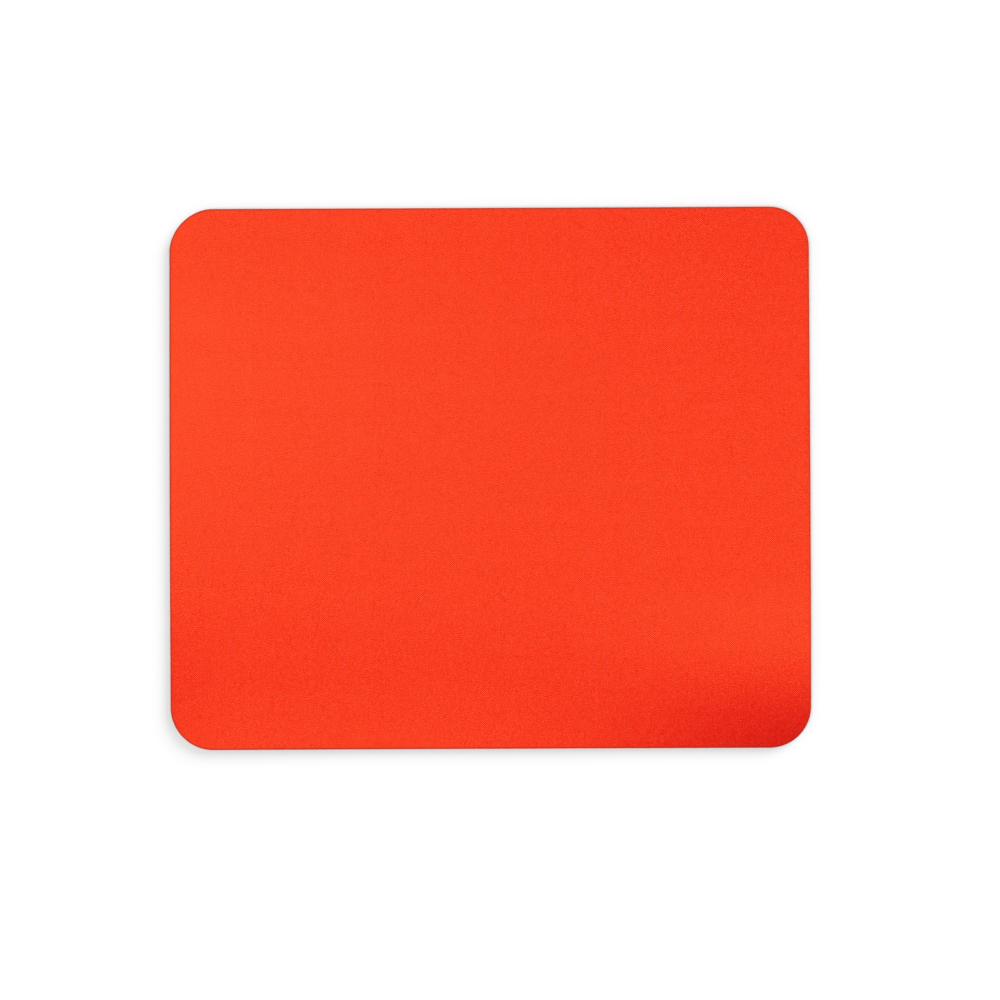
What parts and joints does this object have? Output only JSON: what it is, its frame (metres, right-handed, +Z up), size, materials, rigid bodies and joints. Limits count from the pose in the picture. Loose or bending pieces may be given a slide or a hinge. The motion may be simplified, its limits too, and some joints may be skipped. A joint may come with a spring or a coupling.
{
  "type": "mouse pad",
  "caption": "Flat rectangular mouse pad with rounded corners: a smooth knitted cloth face bonded to a non-slip sponge rubber base, for a mouse to run on.",
  "frame": {"origin": "on the desk, under the middle of the pad", "axes": "+X along the long side, +Y along the short side and away from the user, +Z up out of the cloth face"},
  "size_m": [0.26, 0.22, 0.003],
  "materials": {
    "cloth": "plain red-orange fine polyester knit, matt with a soft sheen",
    "film": "clear hot-melt film, seen only as a line at the cut edge",
    "base": "black sponge rubber, fine pores at the cut, pressed grip texture below"
  },
  "bodies": {
    "root": {"cloth_top": "cloth", "adhesive_film": "film", "rubber_base": "base"}
  },
  "joints": []
}
